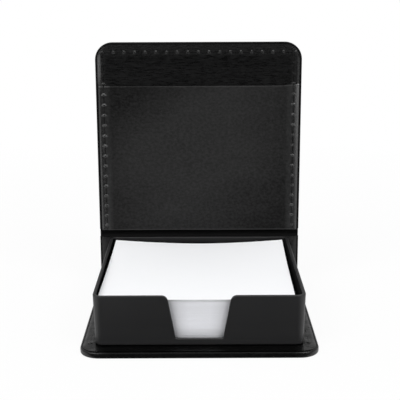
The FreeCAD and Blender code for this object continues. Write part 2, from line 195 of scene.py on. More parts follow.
# Tolerances: a vertex on a line, a cut, a flat face, a needle hole, and a normal's way.
ON_LINE = 1e-4
CUT = 1e-5
FLAT = 0.002
AT_HOLE = 0.05
FACING = 0.9

UPRIGHT = Matrix.Rotation(pi / 2, 4, "X")
BASE_PLACE = Matrix.Translation((0, BASE_HIGH.y, 0)) @ Matrix.Rotation(pi, 4, "Z")
SPINE_PLACE = Matrix.Translation((0, BACK, SPINE_LOW.z)) @ UPRIGHT
HINGE_PLACE = Matrix.Translation((0, BACK, SPINE_HIGH.z)) @ UPRIGHT
COVER_PLACE = Matrix.Translation((0, BACK, COVER_LOW.z)) @ UPRIGHT

# A panel is free when its far end has an edge. Its lining has puckers so tall, waves so
# bumpy and an edge that rolls down so far.
Panel = namedtuple("Panel", "length place free body tall bumpy roll")
BASE = Panel(BASE_HIGH.y - BASE_LOW.y, BASE_PLACE, True, "case", 0.1, 0.16, 0.5)
SPINE = Panel(SPINE_LENGTH, SPINE_PLACE, False, "case", 0.1, 0.16, 0.0)
COVER = Panel(COVER_LENGTH, COVER_PLACE, True, "cover", 0.95, 0.04, 0.7)

# A needle hole: its place, the axis of its seam, and how tall its pucker is.
Hole = namedtuple("Hole", "x y along tall")


# Modelling helpers


def only(piece=None):
    """Deselect everything, and then make one piece active."""
    bpy.ops.object.select_all(action="DESELECT")
    if piece:
        piece.select_set(True)
        bpy.context.view_layer.objects.active = piece


def named(name):
    """Name the piece that was just added."""
    piece = bpy.context.object
    piece.name = piece.data.name = name
    return piece


def fixed(name):
    """Name the piece that was just added, and take its placement into its mesh."""
    piece = named(name)
    bpy.ops.object.transform_apply(location=True, rotation=True, scale=True)
    return piece


@contextmanager
def shaping(piece):
    """Edit one piece."""
    only(piece)
    bpy.ops.object.mode_set(mode="EDIT")
    yield
    bpy.ops.object.mode_set(mode="OBJECT")


def pick(kind, test):
    """Select the vertices, edges or faces of the piece being shaped that pass the test."""
    bpy.ops.mesh.select_mode(type={"verts": "VERT", "edges": "EDGE", "faces": "FACE"}[kind])
    bpy.ops.mesh.select_all(action="DESELECT")
    piece = bpy.context.edit_object
    mesh = bmesh.from_edit_mesh(piece.data)
    for part in getattr(mesh, kind):
        if test(part):
            part.select_set(True)
    mesh.select_flush_mode()
    bmesh.update_edit_mesh(piece.data)


def ends_at(edge, axis, place):
    """Whether both ends of an edge lie at a place along an axis."""
    return all(abs(v.co[axis] - place) < ON_LINE for v in edge.verts)


def drop_of(edge):
    return abs(edge.verts[0].co.z - edge.verts[1].co.z)


def finish_with(piece, kind, **settings):
    """Add a modifier and apply it."""
    only(piece)
    modifier = piece.modifiers.new(kind.title(), kind)
    for key, value in settings.items():
        setattr(modifier, key, value)
    bpy.ops.object.modifier_apply(modifier=modifier.name)


def subdivide(sheet):
    finish_with(sheet, "SUBSURF", levels=2, render_levels=2, boundary_smooth="PRESERVE_CORNERS")


def thicken(sheet, thickness, edge=0.15, segments=3, angle=70):
    """Give a sheet its thickness below its face, and round its cut edges."""
    finish_with(sheet, "SOLIDIFY", thickness=thickness, offset=-1)
    finish_with(
        sheet,
        "BEVEL",
        width=edge,
        segments=segments,
        limit_method="ANGLE",
        angle_limit=radians(angle),
    )
    with shaping(sheet):
        bpy.ops.mesh.select_all(action="SELECT")
        bpy.ops.mesh.dissolve_degenerate(threshold=FLAT)


def soften(piece, angle=40):
    only(piece)
    bpy.ops.object.shade_smooth_by_angle(angle=radians(angle))


def settle(piece, place, finish, slot, body, *nodes):
    """Put a flat-made piece in its place, in metres, and hand it to its body."""
    only(piece)
    piece.matrix_world = Matrix.Scale(MM, 4) @ place
    bpy.ops.object.transform_apply(location=True, rotation=True, scale=True)
    piece.data.materials.clear()
    piece.data.materials.append(finish)
    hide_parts(*nodes)
    if body:
        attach(piece, body)
    return piece


def joined(pieces, name):
    only(pieces[0])
    for piece in pieces:
        piece.select_set(True)
    bpy.ops.object.join()
    return named(name)


def copy_at(piece, place):
    copy = piece.copy()
    copy.data = piece.data.copy()
    copy.data.transform(place)
    bpy.context.collection.objects.link(copy)
    return copy


def laid(x, y, z, turn):
    """Placement at a point, turned about the upright."""
    return Matrix.Translation((x, y, z)) @ Matrix.Rotation(turn, 4, "Z")


def sheet_on_lines(name, xs, ys, height):
    """Sheet whose vertices lie where the lines cross, each at its height."""
    columns, rows = len(xs) - 1, len(ys) - 1
    only()
    bpy.ops.mesh.primitive_grid_add(x_subdivisions=columns, y_subdivisions=rows, size=2)
    sheet = named(name)
    for vertex in sheet.data.vertices:
        column = round((vertex.co.x + 1) / 2 * columns)
        row = round((vertex.co.y + 1) / 2 * rows)
        vertex.co = (xs[column], ys[row], height(column, row))
    return sheet


# Shader recipes


class Wire:
    """A socket of a material, so that shader maths reads as an expression."""

    def __init__(self, recipe, socket):
        self.recipe = recipe
        self.socket = socket

    def __add__(self, other):
        return self.recipe.maths("ADD", self, other)

    __radd__ = __add__

    def __sub__(self, other):
        return self.recipe.maths("SUBTRACT", self, other)

    def __rsub__(self, other):
        return self.recipe.maths("SUBTRACT", other, self)

    def __mul__(self, other):
        return self.recipe.maths("MULTIPLY", self, other)

    def __truediv__(self, other):
        return self.recipe.maths("DIVIDE", self, other)

    def __pow__(self, other):
        return self.recipe.maths("POWER", self, other)

    def __neg__(self):
        return self * -1.0

    def __abs__(self):
        return self.recipe.maths("ABSOLUTE", self)


class Recipe:
    """The nodes of one material or of the world."""

    def __init__(self, owner):
        owner.use_nodes = True
        self.tree = owner.node_tree
        self.tree.nodes.clear()

    def node(self, kind, settings=None, sockets=None, output=0):
        """Add a node: settings first, then the values or links of its sockets."""
        node = self.tree.nodes.new(kind)
        for key, value in (settings or {}).items():
            setattr(node, key, value)
        for key, value in (sockets or {}).items():
            if isinstance(value, Wire):
                self.tree.links.new(value.socket, node.inputs[key])
            else:
                node.inputs[key].default_value = value
        return Wire(self, node.outputs[output]) if node.outputs else None

    def maths(self, operation, *values):
        return self.node("ShaderNodeMath", {"operation": operation}, dict(enumerate(values)))

    def vectors(self, operation, *values, output=0):
        settings = {"operation": operation}
        return self.node("ShaderNodeVectorMath", settings, dict(enumerate(values)), output)

    def place(self):
        return self.node("ShaderNodeTexCoord", output="Object")

    def axes(self, vector, *names):
        return [self.node("ShaderNodeSeparateXYZ", None, {0: vector}, name) for name in names]

    def moved(self, vector, **sockets):
        return self.node("ShaderNodeMapping", None, {"Vector": vector, **sockets})

    def noise(self, vector, scale, detail=3.0, roughness=0.5, output=0):
        sockets = {"Vector": vector, "Scale": scale, "Detail": detail, "Roughness": roughness}
        return self.node("ShaderNodeTexNoise", None, sockets, output)

    def cells(self, vector, scale, feature="F1"):
        sockets = {"Vector": vector, "Scale": scale}
        return self.node("ShaderNodeTexVoronoi", {"feature": feature}, sockets, "Distance")

    def ramp(self, value, *stops):
        """Shade of a value from 0 to 1, by stops of place and shade."""
        shade = self.node("ShaderNodeValToRGB", None, {"Fac": value})
        elements = shade.socket.node.color_ramp.elements
        while len(elements) < len(stops):
            elements.new(1.0)
        for element, (place, level) in zip(elements, stops):
            element.position = place
            element.color = (level, level, level, 1)
        return shade

    def fade(self, length, reach, *stops):
        """Shade along a length in metres, by stops in millimetres, from 0 to a reach."""
        return self.ramp(length * (1 / (reach * MM)), *[(at / reach, level) for at, level in stops])

    def mix(self, factor, first, second):
        """Colour between two, each a wire or red, green and blue."""
        sockets = {0: factor}
        for key, colour in ((6, first), (7, second)):
            sockets[key] = colour if isinstance(colour, Wire) else (*colour, 1)
        return self.node("ShaderNodeMix", {"data_type": "RGBA"}, sockets, 2)

    def bump(self, height, strength, distance):
        sockets = {"Strength": strength, "Distance": distance, "Height": height}
        return self.node("ShaderNodeBump", None, sockets)

    def shader(self, **sockets):
        names = {key.replace("_", " "): value for key, value in sockets.items()}
        return self.node("ShaderNodeBsdfPrincipled", None, names)

    def layer(self, factor, below, above):
        return self.node("ShaderNodeMixShader", None, {0: factor, 1: below, 2: above})

    def show(self, shader):
        self.node("ShaderNodeOutputMaterial", None, {"Surface": shader})

    def surface(self, **sockets):
        self.show(self.shader(**sockets))


def new_finish(name):
    finish = bpy.data.materials.new(name)
    return finish, Recipe(finish)


def grey(level):
    return (level, level, level)


def leatherette(
    name, dark, light, gloss, grain, specular, stretch=0.7, weave=620.0, border=None, calm=None
):
    """Black vinyl with a pressed leather grain of small pebbles.

    A border, beyond a half width and a height, has a shine and a painted highlight along its upper
    left edge. A calm level, where given, is the shine of the strip of base before the tray.
    """
    finish, r = new_finish(name)
    place = r.place()
    drift = r.noise(place, scale=260.0, detail=2.0, output="Color")
    pebbles = r.cells(r.vectors("MULTIPLY_ADD", drift, grey(0.0012), place), scale=1150.0)
    fine = r.noise(place, scale=4200.0, detail=2.0)
    woven = r.moved(place, Scale=(stretch, 1.0, 1.0))
    mottle = r.noise(woven, scale=weave, detail=4.0, roughness=0.65)
    tone = r.mix(r.ramp(mottle, (0.3, 0.0), (0.7, 1.0)), dark, light)
    if border:
        across, up = r.axes(place, "X", "Z")
        # Painted highlight: a paler strip along the upper left edge of the border.
        painted_edge_highlight = r.fade(-across, 100, (50.8, 0.0), (51.5, 1.0), (52.6, 1.0), (53.0, 0.0))
        painted_edge_highlight *= r.fade(up, 125, (107.5, 0.0), (115.0, 1.0), (123.75, 1.0), (125.0, 0.4))
        tone = r.mix(painted_edge_highlight, tone, grey(0.07))
    height = 1 - (pebbles * 1.3) ** 2 + fine * 0.3 + mottle * 0.8
    looks = {
        "Base_Color": tone,
        "Roughness": gloss + (mottle - 0.5) * 0.3 + fine * 0.05,
        "Normal": r.bump(height, strength=grain, distance=0.00008),
    }
    shown = r.shader(Specular_IOR_Level=specular, **looks)
    if border:
        beyond = r.maths("MAXIMUM", abs(across) - border[0] * MM, up - border[1] * MM)
        pressed = r.fade(beyond, 5, (0.0, 0.0), (2.5, 1.0))
        shown = r.layer(pressed, shown, r.shader(Specular_IOR_Level=0.5, **looks))
    if calm:
        across, back = r.axes(place, "X", "Y")
        before = r.fade(abs(across), 50, (42.0, 1.0), (46.5, 0.0))
        before *= r.fade(-back, 50, (44.0, 0.0), (45.5, 1.0))
        shown = r.layer(before, shown, r.shader(Specular_IOR_Level=calm, **looks))
    r.show(shown)
    return finish


def pocket_film():
    """Smoother black vinyl, fine-grained, with a painted sheen from corner to corner, and painted
    highlights and reflection at its edges.
    """
    finish, r = new_finish("pocket_vinyl")
    place = r.place()
    across, up = r.axes(place, "X", "Z")

    # Painted sheen in the base colour, in a slanting strip and in clouds along it; and the grain.
    slanted = r.moved(place, Rotation=(0.0, radians(38), 0.0), Scale=(0.45, 1.0, 1.6))
    cloud = r.noise(slanted, scale=30.0, roughness=0.55)
    high = up - 70 * MM
    slant = high * 7.0 - across * 5.0 + 0.5
    painted_sheen_band = r.ramp(slant, (0.0, 0.1), (0.4, 0.9), (0.66, 1.0), (0.95, 0.1))
    fading = r.ramp(abs(high * 5.0 + across * 5.0), (0.12, 1.0), (0.4, 0.4))
    drawn = painted_sheen_band * fading * 0.65 + cloud * 0.4
    woven = r.moved(place, Scale=(0.75, 1.0, 1.0))
    fine = r.noise(woven, scale=780.0, detail=4.0, roughness=0.7)
    grain = r.cells(place, scale=1500.0, feature="SMOOTH_F1")

    # Painted highlight on the right edge, and painted reflection of the paper along the foot.
    painted_edge_highlight = r.fade(across, 100, (50.5, 0.0), (51.2, 1.0), (52.2, 1.0), (52.8, 0.0))
    painted_edge_highlight *= r.fade(up, 100, (40.0, 0.1), (100.0, 1.0)) * (fine * 0.6 + 0.6)
    foot = r.fade(up - POCKET_EDGE * MM, 2, (0.0, 1.0), (0.2, 1.0), (0.6, 0.0))
    painted_highlights = r.maths("MAXIMUM", painted_edge_highlight * 0.72, foot * 0.28)

    # Painted highlights above the needle holes, strongest at the top of the left row.
    top_hole = (COVER_LOW.z + COVER_LENGTH - END_LINES[SEAM]) * MM
    half_pitch = STITCH_PITCH / 2 * MM
    above = r.maths("WRAP", up - top_hole, half_pitch, -half_pitch)
    aside = abs(abs(across) - (HALF - SIDE_LINES[SEAM]) * MM)
    painted_hole_highlight = r.fade(abs(above + aside * 0.6 - 0.6 * MM), 1, (0.15, 1.0), (0.45, 0.0))
    painted_hole_highlight *= r.fade(aside, 2, (1.0, 1.0), (1.7, 0.0))
    painted_hole_highlight *= r.fade(up, 125, (37.5, 0.12), (75.0, 0.5), (106.25, 1.0))
    painted_hole_highlight *= r.fade(across + 50 * MM, 100, (40.0, 0.9), (60.0, 0.1))
    painted_hole_highlight *= r.noise(place, scale=150.0, detail=2.0) * 1.4 + 0.2
    painted_highlights = r.maths("MAXIMUM", painted_highlights, painted_hole_highlight)

    # Lightness of the base colour: painted sheen and grain.
    light = r.ramp(drawn, (0.32, 0.0), (0.72, 1.0)) * 0.55
    light += r.ramp(fine, (0.36, 0.0), (0.64, 1.0)) * 0.45
    pressed = r.fade(abs(across), 100, (46.0, 0.0), (49.5, 1.0))
    looks = {
        "Base_Color": r.mix(painted_highlights, r.mix(light, grey(0.0015), grey(0.027)), grey(0.1)),
        "Roughness": 0.46 - (drawn - 0.5) * 0.12 - pressed * 0.2,
        "Normal": r.bump(fine * 0.6 + grain * 0.5, strength=0.5, distance=0.00006),
    }
    plain = r.shader(Specular_IOR_Level=0.15, **looks)
    shiny = r.shader(Specular_IOR_Level=0.8, **looks)
    r.show(r.layer(pressed, plain, shiny))
    return finish


def sewing_thread():
    """Twisted black thread."""
    finish, r = new_finish("sewing_thread")
    twist = r.node(
        "ShaderNodeTexWave",
        {"wave_type": "BANDS", "bands_direction": "DIAGONAL"},
        {"Vector": r.place(), "Scale": 900.0, "Distortion": 1.5},
    )
    r.surface(
        Base_Color=r.mix(twist, grey(0.002), grey(0.006)),
        Roughness=0.7 + twist * 0.2,
        Specular_IOR_Level=0.06,
        Normal=r.bump(twist, strength=0.5, distance=0.0001),
    )
    return finish


def tray_plastic():
    """Matt black moulding with a fine eroded texture, with painted light at its foot and painted
    shade inside, where it is duller.
    """
    finish, r = new_finish("tray_plastic")
    place = r.place()
    across, back, up = r.axes(place, "X", "Y", "Z")
    sparks = r.noise(place, scale=3800.0, roughness=0.65)
    cloud = r.noise(place, scale=40.0)
    grain = r.bump(sparks, strength=0.16, distance=0.00006)

    # Painted shade inside, as seen in plan, but for the upper part of the rear wall, where painted
    # light grows towards the rim.
    reach = (TRAY_HIGH - TRAY_LOW) / 2 * MM
    corner = (TRAY_WALL + TRAY_CORNER) * MM
    out = r.vectors("ABSOLUTE", r.vectors("SUBTRACT", place, (TRAY_LOW + TRAY_HIGH) / 2 * MM))
    out = r.vectors("SUBTRACT", out, (reach.x - corner, reach.y - corner, 1.0))
    out = r.vectors("LENGTH", r.vectors("MAXIMUM", out, grey(0.0)), output="Value")
    inside = r.fade(out, 2 * TRAY_CORNER, (TRAY_CORNER, 1.0), (1.03 * TRAY_CORNER, 0.0))
    rear = r.fade(back - (TRAY_HIGH.y - 10) * MM, 10, (7.2, 0.0), (8.2, 1.0))
    rear *= r.fade(up - (TRAY_HIGH.z - 5) * MM, 5, (2.0, 0.15), (4.5, 0.5))

    # Painted light: the rounding of the foot, which faces the dark base, is paler.
    foot = r.fade(
        up - TRAY_LOW.z * MM, 10, (0.2, 1.0), (0.8, 0.42), (3.0, 0.13), (10.0, 0.0)
    )
    tone = r.mix(cloud, (0.0135, 0.0135, 0.0142), (0.0165, 0.0165, 0.0171))
    outer = r.shader(
        Base_Color=r.mix(foot, tone, (0.05, 0.05, 0.052)),
        Roughness=0.36 + sparks * 0.14 + cloud * 0.06,
        Specular_IOR_Level=0.46,
        Normal=grain,
    )
    # Painted light on the inner faces, growing towards the right wall.
    painted_light_rightward = r.fade(across + 50 * MM, 100, (10.0, 0.0), (95.0, 1.0))
    inner = r.shader(
        Base_Color=r.mix(painted_light_rightward, grey(0.003), grey(0.014)),
        Roughness=0.7 + sparks * 0.14,
        Specular_IOR_Level=0.0,
        Normal=grain,
    )
    r.show(r.layer(inside * (1 - rear), outer, inner))
    return finish


def note_paper(name, tone, streak, front, shades):
    """White paper whose cut edges differ from sheet to sheet.

    Its front edge has painted shade by height, and painted shade that darkens towards the sides of
    the notch.
    """
    finish, r = new_finish(name)
    place = r.place()
    across, back, up = r.axes(place, "X", "Y", "Z")
    fibre = r.noise(place, scale=1800.0, detail=4.0, roughness=0.7)
    layers = r.moved(place, Scale=(0.02, 0.02, 1.0))
    cuts = r.noise(layers, scale=4200.0, detail=2.0, roughness=0.8)
    # Painted shade on the front edge: darker towards the sides of the notch, and by height.
    edge = r.fade(back - front * MM, 1, (0.35, 1.0), (0.45, 0.0))
    beside = abs(across) / (up * NOTCH_SLOPE + NOTCH_FOOT * MM)
    lit = r.ramp(beside, (0.35, 1.0), (0.6, 0.92), (0.8, 0.82), (1.0, 0.66))
    lit *= r.fade(up, 25, *shades)
    darker = tuple(channel * (1 - streak) for channel in tone)
    even = r.mix(cuts * 0.8 + fibre * 0.2, darker, tone)
    r.surface(
        Base_Color=r.mix(1 - edge * (1 - lit), grey(0.0), even),
        Roughness=0.72 + fibre * 0.12,
        Specular_IOR_Level=0.25,
        Normal=r.bump(fibre, strength=0.06, distance=0.00004),
    )
    return finish


def greyboard():
    finish, r = new_finish("greyboard")
    flecks = r.noise(r.place(), scale=900.0, detail=5.0, roughness=0.7)
    r.surface(
        Base_Color=r.mix(flecks, (0.30, 0.28, 0.25), (0.5, 0.48, 0.44)),
        Roughness=0.85 + flecks * 0.1,
        Specular_IOR_Level=0.2,
        Normal=r.bump(flecks, strength=0.3, distance=0.0001),
    )
    return finish


def foam_tape():
    finish, r = new_finish("foam_tape")
    bubbles = r.cells(r.place(), scale=2600.0)
    r.surface(
        Base_Color=r.mix(bubbles, grey(0.012), grey(0.03)),
        Roughness=0.8 + bubbles * 0.1,
        Specular_IOR_Level=0.2,
        Normal=r.bump(bubbles, strength=0.4, distance=0.0001),
    )
    return finish


SKIN_FINISH = leatherette(
    "outer_leatherette",
    dark=(0.002, 0.002, 0.0022),
    light=(0.005, 0.005, 0.0052),
    gloss=0.42,
    grain=0.4,
    specular=0.08,
)
BASE_SKIN_FINISH = leatherette(
    "base_edge_leatherette",
    dark=(0.002, 0.002, 0.0022),
    light=(0.006, 0.006, 0.0062),
    gloss=0.36,
    grain=0.5,
    specular=0.42,
    calm=0.09,
)
LINING_FINISH = leatherette(
    "lining_leatherette",
    dark=grey(0.0),
    light=(0.009, 0.009, 0.0092),
    gloss=0.26,
    grain=0.5,
    specular=0.24,
    stretch=0.16,
    weave=1500.0,
    # The border gives a shine, and a painted highlight along the upper left edge.
    border=(47.5, 123.5),
)
# A darker copy of the lining leatherette: painted shade on the base.
BASE_FINISH = leatherette(
    "base_leatherette",
    dark=grey(0.0003),
    light=grey(0.0012),
    gloss=0.3,
    grain=0.45,
    specular=0.31,
    calm=0.13,
)
# A lighter copy of the lining leatherette: painted light on the spine.
SPINE_FINISH = leatherette(
    "spine_leatherette",
    dark=grey(0.005),
    light=grey(0.019),
    gloss=0.3,
    grain=0.6,
    specular=0.34,
)
# A darker, duller copy of the lining leatherette: painted shade in the hinge groove.
GROOVE_FINISH = leatherette(
    "painted_shade_groove_leatherette",
    dark=grey(0.0005),
    light=grey(0.0015),
    gloss=0.5,
    grain=0.3,
    specular=0.085,
)
POCKET_FINISH = pocket_film()
THREAD_FINISH = sewing_thread()
TRAY_FINISH = tray_plastic()
STACK_FINISH = note_paper(
    "stacked_paper",
    tone=(0.9, 0.907, 0.94),
    streak=0.09,
    front=BLOCK_LOW.y,
    # Painted shade on the front edge by height in millimetres: darker at the foot and under the
    # top.
    shades=(
        (6.75, 0.84),
        (8.125, 0.86),
        (9.0, 0.9),
        (10.25, 1.0),
        (12.5, 1.0),
        (15.0, 0.965),
        (21.5, 0.91),
        (22.75, 0.88),
        (23.125, 0.74),
    ),
)
SHEET_FINISH = note_paper(
    "top_paper",
    tone=(0.90, 0.907, 0.922),
    streak=0.015,
    front=BLOCK_LOW.y + LOOSE_TRIM / 2,
    # Painted shade on the front edges of the loose sheets.
    shades=((0.0, 0.76), (25.0, 0.76)),
)
BOARD_FINISH = greyboard()
TAPE_FINISH = foam_tape()


# The case: wrapped boards, linings, pocket, seams, fold and hinge


def wrapped_board(name, panel, finish, node):
    """Skin drawn round a board, with soft edges and two rounded corners at a free end."""
    length = panel.length
    hinged = (0.0,) if panel.free else (0.0, length)
    only()
    bpy.ops.mesh.primitive_cube_add(
        size=1, location=(0, length / 2, EDGE / 2), scale=(WIDTH, length, EDGE)
    )
    board = fixed(name)

    def is_corner(edge):
        outermost = all(abs(v.co.x) > HALF - ON_LINE for v in edge.verts)
        return outermost and ends_at(edge, 1, length) and drop_of(edge) > 1

    def is_rim(edge):
        level = ends_at(edge, 2, 0) or ends_at(edge, 2, EDGE)
        return level and not any(ends_at(edge, 1, end) for end in hinged)

    with shaping(board):
        if panel.free:
            pick("edges", is_corner)
            bpy.ops.mesh.bevel(affect="EDGES", offset=PANEL_CORNER, segments=12)
        pick("edges", is_rim)
        bpy.ops.mesh.bevel(affect="EDGES", offset=EDGE_ROUND, segments=4)
        pick("faces", lambda f: f.normal.z > FACING and f.calc_area() > WIDTH)
        bpy.ops.mesh.inset(thickness=TURN_IN, depth=SKIN + BOARD - EDGE)
    soften(board)
    return settle(board, panel.place, finish, "leatherette", panel.body, node)


def seam_columns():
    """Places across of the needle holes in an end row, from seam to seam."""
    reach = HALF - SIDE_LINES[SEAM]
    count = round(2 * reach / STITCH_PITCH)
    return [reach * (2 * n / count - 1) for n in range(count + 1)]


def seam_rows(panel):
    """Places along of the needle holes in a side row: back from a free end, or centred."""
    if not panel.free:
        return [panel.length / 2 + STITCH_PITCH * n for n in (-2, -1, 0, 1, 2)]
    end = panel.length - END_LINES[SEAM]
    return [end - STITCH_PITCH * n for n in range(int(end / STITCH_PITCH), -1, -1)]


def lines_across(side):
    """Lines of a sheet from left to right: its side lines, and needle holes between them."""
    inner = [x for x in seam_columns() if abs(x) < side[-1] - LINE_GAP]
    return [-x for x in side] + inner + side[::-1]


def is_hole(point, holes):
    return any(abs(point.x - h.x) < AT_HOLE and abs(point.y - h.y) < AT_HOLE for h in holes)


def punch(sheet, holes):
    """Needle holes at vertices of a sheet, with lips that the thread draws together."""
    with shaping(sheet):
        pick("verts", lambda v: is_hole(v.co, holes))
        bpy.ops.mesh.bevel(affect="VERTICES", offset=PUCKER, segments=1)
        pick("faces", lambda f: len(f.verts) == 4 and is_hole(f.calc_center_median(), holes))
        for thickness, rise in PUCKER_STEPS:
            bpy.ops.mesh.inset(thickness=thickness, depth=rise, use_individual=True)
    chance = random.Random(len(holes))
    vertices = sheet.data.vertices
    tree = KDTree(len(vertices))
    for vertex in vertices:
        tree.insert((vertex.co.x, vertex.co.y, 0), vertex.index)
    tree.balance()
    for hole in sorted(holes):
        centre = Vector((hole.x, hole.y))
        found = tree.find_range((hole.x, hole.y, 0), PUCKER + 0.05)
        near = [vertices[index] for point, index, gap in found]
        swell = chance.uniform(*SWELL)
        skew = chance.uniform(-SKEW, SKEW)
        lean = chance.uniform(-LEAN, LEAN)
        crest = Vector((sin(lean), cos(lean)))
        foot = min(v.co.z for v in near if (v.co.xy - centre).length > PUCKER - 0.1)
        for vertex in near:
            rise = (vertex.co.z - foot) * hole.tall
            if rise > 0:
                away = (vertex.co.xy - centre).normalized()
                raised = max(0.0, ALL_ROUND + (1 - ALL_ROUND) * away.dot(crest))
                rise *= swell * (LEAST_RISE + (1 - LEAST_RISE) * raised)
            vertex.co.z = foot + rise
            vertex.co[hole.along] += (DRAWN - 1) * (vertex.co[hole.along] - hole[hole.along])
            vertex.co[1 - hole.along] += skew * max(rise, 0)


def round_corners(sheet, half, length, radius, cuts=8):
    """Trim the two far corners of a sheet along an arc."""
    with shaping(sheet):
        for side in (-1, 1):
            corner = Vector((side * (half - radius), length - radius, 0))
            for cut in range(cuts):
                angle = pi / 2 * (cut + 0.5) / cuts
                way = Vector((side * cos(angle), sin(angle), 0))
                bpy.ops.mesh.select_all(action="SELECT")
                bpy.ops.mesh.bisect(
                    plane_co=corner + way * radius, plane_no=way, clear_outer=True, threshold=CUT
                )


def roll_edge(sheet, half, end, corner, drop):
    """Turn the edge of a sheet down along both sides, running out round its far corners."""
    for vertex in sheet.data.vertices:
        side = half - abs(vertex.co.x)
        far = end - vertex.co.y
        inside = side
        turned = 1.0
        if far < corner:
            reach = Vector((max(0.0, corner - side), corner - far))
            inside = corner - reach.length
            turned = (reach.x / reach.length) ** 2
        vertex.co.z -= drop * turned * max(0.0, 1 - inside / ROLL_WIDTH) ** ROLL_POWER


def panel_lining(name, panel, holes_from, finish, node):
    """Lining of a panel: a dish inside a seamed border, punched along the seam."""
    side = [HALF - line for line in SIDE_LINES]
    end = [panel.length - line for line in END_LINES]
    xs = lines_across(side)
    rows = seam_rows(panel)
    if panel.free:
        ys = [0.0] + [y for y in rows if y < end[-1] - LINE_GAP] + end[::-1]
    else:
        ys = [0.0] + rows + [panel.length]

    def height(column, row):
        across = min(column, len(xs) - 1 - column)
        along = len(ys) - 1 - row if panel.free else len(SIDE_LINES)
        line = min(across, along, len(LINE_HEIGHTS) - 1)
        level = BORDER_TOP + LINE_HEIGHTS[line]
        if not panel.free:
            level += SPINE_BULGE[line] * sin(pi * ys[row] / panel.length) ** BULGE_POWER
        return level

    def tall(y):
        if panel is COVER and y > holes_from + STITCH_PITCH:
            return FLAT_RISE
        if panel is BASE and y == rows[-2]:
            return FULL_RISE
        return panel.tall

    sheet = sheet_on_lines(name, xs, ys, height)
    holes = [Hole(s * side[SEAM], y, 1, tall(y)) for y in rows if y > holes_from for s in (-1, 1)]
    if panel.free:
        holes += [Hole(x, end[SEAM], 0, panel.tall) for x in seam_columns()[1:-1]]
    punch(sheet, holes)
    subdivide(sheet)
    for vertex in sheet.data.vertices:
        spot = Vector((vertex.co.x, vertex.co.y, 0)) * BUMP_SPREAD
        vertex.co.z += panel.bumpy * noise.noise(spot)
    if panel.free:
        outline = (HALF - SIDE_LINES[0], panel.length - SIDE_LINES[0], PANEL_CORNER - SIDE_LINES[0])
        round_corners(sheet, *outline)
        roll_edge(sheet, *outline, panel.roll)
    thicken(sheet, LINING)
    soften(sheet, 50)
    return settle(sheet, panel.place, finish, "lining", panel.body, node)


def cover_pocket():
    """Pocket sheet, sewn at the sides, whose open edge gapes a little."""
    side = [HALF - line for line in SIDE_LINES[:-1]]
    seam = side[SEAM]
    xs = lines_across(side)
    xs[:2] = [-HALF + inset for inset in POCKET_LEFT]
    xs[-1] = HALF - POCKET_RIGHT
    rows = [y for y in seam_rows(COVER) if y < POCKET_MOUTH - LINE_GAP]
    ys = [POCKET_FOOT + up for up, rise in POCKET_HEM] + rows
    ys += [POCKET_MOUTH - back for back, rise in POCKET_LIP]
    rises = [rise for up, rise in POCKET_HEM] + [0.0] * len(rows)
    rises += [rise for back, rise in POCKET_LIP]

    def height(column, row):
        across = min(column, len(xs) - 1 - column, len(side) - 1)
        level = POCKET_FACE + LINE_HEIGHTS[across] + rises[row]
        if across == 0:
            level -= SIDE_SUNK
        if column == len(xs) - 2:
            level += RIGHT_CROWN
        if across == len(side) - 1:
            free = 1 - (xs[column] / side[-1]) ** 2
            wave = sin(WAVE_SPREAD[0] * xs[column] + WAVE_SPREAD[1] * ys[row])
            level += free * (GAPE * (ys[row] / POCKET_MOUTH) ** 3 + WAVE * wave)
        return level

    sheet = sheet_on_lines("pocket_sheet", xs, ys, height)
    for vertex in sheet.data.vertices:
        right = max(0.0, vertex.co.x / HALF - CORNER_FROM) / (1 - CORNER_FROM)
        corner = right * max(0.0, 1 - (POCKET_MOUTH - vertex.co.y) / CORNER_DEPTH)
        vertex.co.y += CORNER_LIFT[0] * corner
        vertex.co.z += CORNER_LIFT[1] * corner
    growing = [y / POCKET_MOUTH for y in rows]
    uneven = [noise.noise(Vector((0, RIGHT_SPREAD * y, 0))) for y in rows]
    for x, (tall, more), shares in ((-seam, LEFT_TALL, growing), (seam, RIGHT_TALL, uneven)):
        punch(sheet, [Hole(x, y, 1, tall + more * share) for y, share in zip(rows, shares)])
    subdivide(sheet)
    thicken(sheet, LINING, edge=0.2)
    soften(sheet, 50)
    return settle(sheet, COVER_PLACE, POCKET_FINISH, "pocket", "cover", "cover_pocket")


def one_stitch():
    """Thread between two needle holes, along X, that dives at both ends."""
    only()
    bpy.ops.mesh.primitive_cylinder_add(
        vertices=8,
        radius=THREAD,
        depth=2 * (STITCH_PITCH / 2 - STITCH_GAP),
        rotation=(0, pi / 2, 0),
    )
    stitch = fixed("stitch")
    with shaping(stitch):
        for end in (-1, 1):
            pick("faces", lambda f: f.normal.x * end > FACING)
            for run, drop in STITCH_DIVE:
                bpy.ops.mesh.extrude_region_move(
                    TRANSFORM_OT_translate={"value": (run * end, 0, drop)}
                )
    return stitch


def between(places):
    return [(first + second) / 2 for first, second in zip(places, places[1:])]


def seam_threads(name, panel, face, sign, *nodes):
    """Stitches along the seam of a panel, on its inner (1) or outer (-1) face."""
    side = HALF - SIDE_LINES[SEAM]
    end = panel.length - END_LINES[SEAM]
    threads = [(x, end, 0.0) for x in between(seam_columns())] if panel.free else []
    for y in between(seam_rows(panel)):
        threads += [(s * side, y, pi / 2) for s in (-1, 1)]
    flip = Matrix.Identity(4) if sign > 0 else Matrix.Rotation(pi, 4, "X")
    pattern = one_stitch()
    copies = [copy_at(pattern, laid(x, y, face(y), turn) @ flip) for x, y, turn in threads]
    bpy.data.objects.remove(pattern)
    seam = joined(copies, name)
    soften(seam, 60)
    return settle(seam, panel.place, THREAD_FINISH, "thread", panel.body, *nodes)


